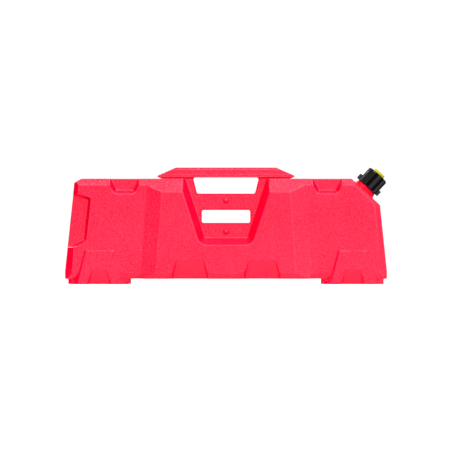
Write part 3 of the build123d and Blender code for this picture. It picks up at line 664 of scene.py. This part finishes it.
# ---- Spout. It hangs upside down in the tank from a flange on the neck's rim: a rigid yellow
# tube, a corrugated hose pushed over its barb, and a tapered nozzle pushed into the hose's far end.
SPOUT_RADIUS = 0.0164
SPOUT_WALL = 0.0018
TUBE_END = SPOUT_SEAT - 0.056
HOSE_TOP = TUBE_END - 0.006
BARB = 0.014
HOSE_ROOT = 0.0129
HOSE_CREST = 0.0146
HOSE_BORE = 0.0114
RING_PITCH = 0.006
RINGS = 8
RING_STEPS = 16
RING_FULLNESS = 0.7
HOSE_END = HOSE_TOP - 2 * BARB - RINGS * RING_PITCH
BARB_BORE = HOSE_BORE - SPOUT_WALL
NOZZLE_WALL = 0.0016
NOZZLE_TIP = 0.008
NOZZLE_END = HOSE_END - 0.048
STRAINER_RIM = 0.0012
STRAINER_RIM_RADIUS = 0.0158
STRAINER_SEAT = SPOUT_SEAT + FLANGE - STRAINER_RIM
NOZZLE_COLLAR = 0.0012

spout_tube = grid_piece("spout_tube", [turned([
    (SPOUT_RADIUS - SPOUT_WALL, TUBE_END),
    (BARB_BORE, HOSE_TOP),
    (BARB_BORE, HOSE_TOP - BARB),
    (HOSE_BORE, HOSE_TOP - BARB),
    (HOSE_BORE, HOSE_TOP),
    (SPOUT_RADIUS, TUBE_END),
    (SPOUT_RADIUS, SPOUT_SEAT),
    (FLANGE_RADIUS, SPOUT_SEAT),
    (FLANGE_RADIUS, SPOUT_SEAT + FLANGE),
    (STRAINER_RIM_RADIUS, SPOUT_SEAT + FLANGE),
    (STRAINER_RIM_RADIUS, STRAINER_SEAT),
    (SPOUT_RADIUS - SPOUT_WALL, STRAINER_SEAT),
])], yellow_moulded, "spout")
soften(spout_tube, 0.0003)
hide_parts("spout_base")

ring_level = np.linspace(0, RINGS, RINGS * RING_STEPS + 1)
ring_rise = (0.5 - 0.5 * np.cos(2 * math.pi * ring_level)) ** RING_FULLNESS
ring_radius = HOSE_ROOT + (HOSE_CREST - HOSE_ROOT) * ring_rise
ripples = np.stack([ring_radius, HOSE_TOP - BARB - ring_level * RING_PITCH], axis=1)
hose = grid_piece("corrugated_hose", [turned([
    (HOSE_BORE, HOSE_TOP), (HOSE_ROOT, HOSE_TOP), *ripples, (HOSE_ROOT, HOSE_END), (HOSE_BORE, HOSE_END),
])], yellow_moulded, "spout")
soften(hose, 0.0003)
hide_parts("spout_hose")

nozzle = grid_piece("nozzle_moulding", [turned([
    (BARB_BORE, HOSE_END + BARB),
    (HOSE_BORE, HOSE_END + BARB),
    (HOSE_BORE, HOSE_END),
    (HOSE_ROOT + NOZZLE_COLLAR, HOSE_END),
    (HOSE_ROOT + NOZZLE_COLLAR, HOSE_END - 2 * NOZZLE_WALL),
    (BARB_BORE + NOZZLE_WALL, HOSE_END - 2 * NOZZLE_WALL),
    (NOZZLE_TIP, NOZZLE_END),
    (NOZZLE_TIP - NOZZLE_WALL, NOZZLE_END),
    (BARB_BORE, HOSE_END - 2 * NOZZLE_WALL),
])], yellow_moulded, "spout")
soften(nozzle, 0.0003)
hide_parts("spout_nozzle")


# ---- Strainer and vent tube. The strainer is a black cup with eight slots that drops into the
# spout's mouth; a clear nylon tube runs from its floor to the nozzle's tip and lets air in.
# The solids' own shapes are right, so only their finishes change.
# Extruded nylon: milky and half clear, with a haze whose clouds are about three millimetres across.
clear_tube, tree, shader = new_material("extruded_nylon")
place = add_node(tree, "ShaderNodeTexCoord").outputs["Object"]
haze = add_node(tree, "ShaderNodeTexNoise", values={"Scale": 300.0, "Detail": 2.0}, links={"Vector": place})
sheen = add_node(
    tree, "ShaderNodeMapRange", values={"To Min": 0.12, "To Max": 0.26},
    links={"Value": haze.outputs["Fac"]},
)
set_values(shader, {"Base Color": linear("#E9EAE2"), "IOR": 1.53, "Transmission Weight": 0.55})
tree.links.new(sheen.outputs["Result"], shader.inputs["Roughness"])

for name, material in (("strainer", black_moulded), ("vent_tube", clear_tube)):
    node = frame["nodes"][name]
    for held in node.material_slots:
        held.material = material


# ---- Studio. A round pale floor, a soft surround that is dark to the left and dim behind, soft panels
# overhead, in front, in front to the right and behind, and a small bright one high up behind to the
# left, which draws the thin highlights on the cap. To the camera alone, floor and surround are white.
FLOOR_RADIUS = 0.5
FLOOR_LIFT = 0.85
SURROUND = 1.06
CAMERA_DISTANCE = 4.0
CAMERA_HEIGHT = 0.127
CAMERA_LENS = 144.8

# Matt white studio paper, whose shade drifts over half a metre. It glows for the camera alone, so
# that its edge runs into the white surround.
pale_floor, tree, shader = new_material("pale_floor")
place = add_node(tree, "ShaderNodeTexCoord").outputs["Object"]
paper = add_node(tree, "ShaderNodeTexNoise", values={"Scale": 2.0, "Detail": 1.0}, links={"Vector": place})
shade = add_node(
    tree, "ShaderNodeMapRange", values={"To Min": 0.88, "To Max": 0.92},
    links={"Value": paper.outputs["Fac"]},
)
tree.links.new(shade.outputs["Result"], shader.inputs["Base Color"])
set_values(shader, {"Roughness": 0.9, "Specular IOR Level": 0.0, "Emission Color": linear("#FFFFFF")})
path = add_node(tree, "ShaderNodeLightPath")
lift = add_node(
    tree, "ShaderNodeMapRange", values={"To Min": 0.0, "To Max": FLOOR_LIFT},
    links={"Value": path.outputs["Is Camera Ray"]},
)
tree.links.new(lift.outputs["Result"], shader.inputs["Emission Strength"])
rim_angle = np.arange(96) * 2 * math.pi / 96
rim = np.stack([np.cos(rim_angle), np.sin(rim_angle), np.zeros(96)], axis=1) * FLOOR_RADIUS
floor_mesh = bpy.data.meshes.new("floor")
floor_mesh.from_pydata(rim, [], [list(range(96))])
floor_mesh.materials.append(pale_floor)
floor = bpy.data.objects.new("floor", floor_mesh)
bpy.context.scene.collection.objects.link(floor)

world = bpy.data.worlds.new("studio")
world.use_nodes = True
tree = world.node_tree
direction = add_node(tree, "ShaderNodeTexCoord").outputs["Generated"]
split = add_node(tree, "ShaderNodeSeparateXYZ", links={"Vector": direction})
sideways = add_node(
    tree, "ShaderNodeMapRange",
    values={"From Min": -0.85, "From Max": -0.18, "To Min": 0.02, "To Max": SURROUND},
    links={"Value": split.outputs["X"]},
)
behind = add_node(
    tree, "ShaderNodeMapRange", values={"From Min": 0.05, "From Max": 0.5, "To Min": 1.0, "To Max": 0.2},
    links={"Value": split.outputs["Y"]},
)
cast = add_node(
    tree, "ShaderNodeMath", {"operation": "MULTIPLY"},
    links={0: sideways.outputs["Result"], 1: behind.outputs["Result"]},
)
path = add_node(tree, "ShaderNodeLightPath")
shown = add_node(
    tree, "ShaderNodeMix", {"data_type": "FLOAT"}, {"B": SURROUND},
    {"Factor": path.outputs["Is Camera Ray"], "A": cast.outputs["Value"]},
)
tree.links.new(shown.outputs["Result"], tree.nodes["Background"].inputs["Color"])
bpy.context.scene.world = world


def soft_panel(name, place, aim, width, height, radiance):
    """A rectangular light whose power follows from the brightness of its face."""
    light = bpy.data.lights.new(name, "AREA")
    light.shape = "RECTANGLE"
    light.size = width
    light.size_y = height
    light.energy = radiance * math.pi * width * height
    panel = bpy.data.objects.new(name, light)
    panel.location = place
    panel.rotation_euler = (Vector(aim) - Vector(place)).to_track_quat("-Z", "Y").to_euler()
    panel.visible_camera = False
    bpy.context.scene.collection.objects.link(panel)


soft_panel("overhead_panel", (0.4, -1.3, 3.2), (0, 0, 0.1), 3.6, 2.4, 4.3)
soft_panel("right_panel", (3.4, -4.2, 1.3), (0, 0, 0.12), 3.0, 2.6, 2.6)
soft_panel("front_panel", (0.2, -5.2, 1.0), (0, 0, 0.12), 4.4, 3.2, 0.9)
soft_panel("back_panel", (0.6, 3.4, 2.6), (0, 0, 0.12), 3.0, 2.0, 1.6)
soft_panel("rim_panel", (-1.75, 1.15, 2.45), (0.32, 0, 0.23), 0.9, 0.9, 22.0)

camera_data = bpy.data.cameras.new("camera")
camera_data.sensor_width = 36.0
camera_data.lens = CAMERA_LENS
camera_data.clip_start = 0.1
camera_data.clip_end = 100.0
camera = bpy.data.objects.new("camera", camera_data)
camera.location = (0.0, -CAMERA_DISTANCE, CAMERA_HEIGHT)
camera.rotation_euler = (math.pi / 2, 0, 0)
bpy.context.scene.collection.objects.link(camera)
bpy.context.scene.camera = camera
bpy.context.scene.view_settings.view_transform = "Standard"
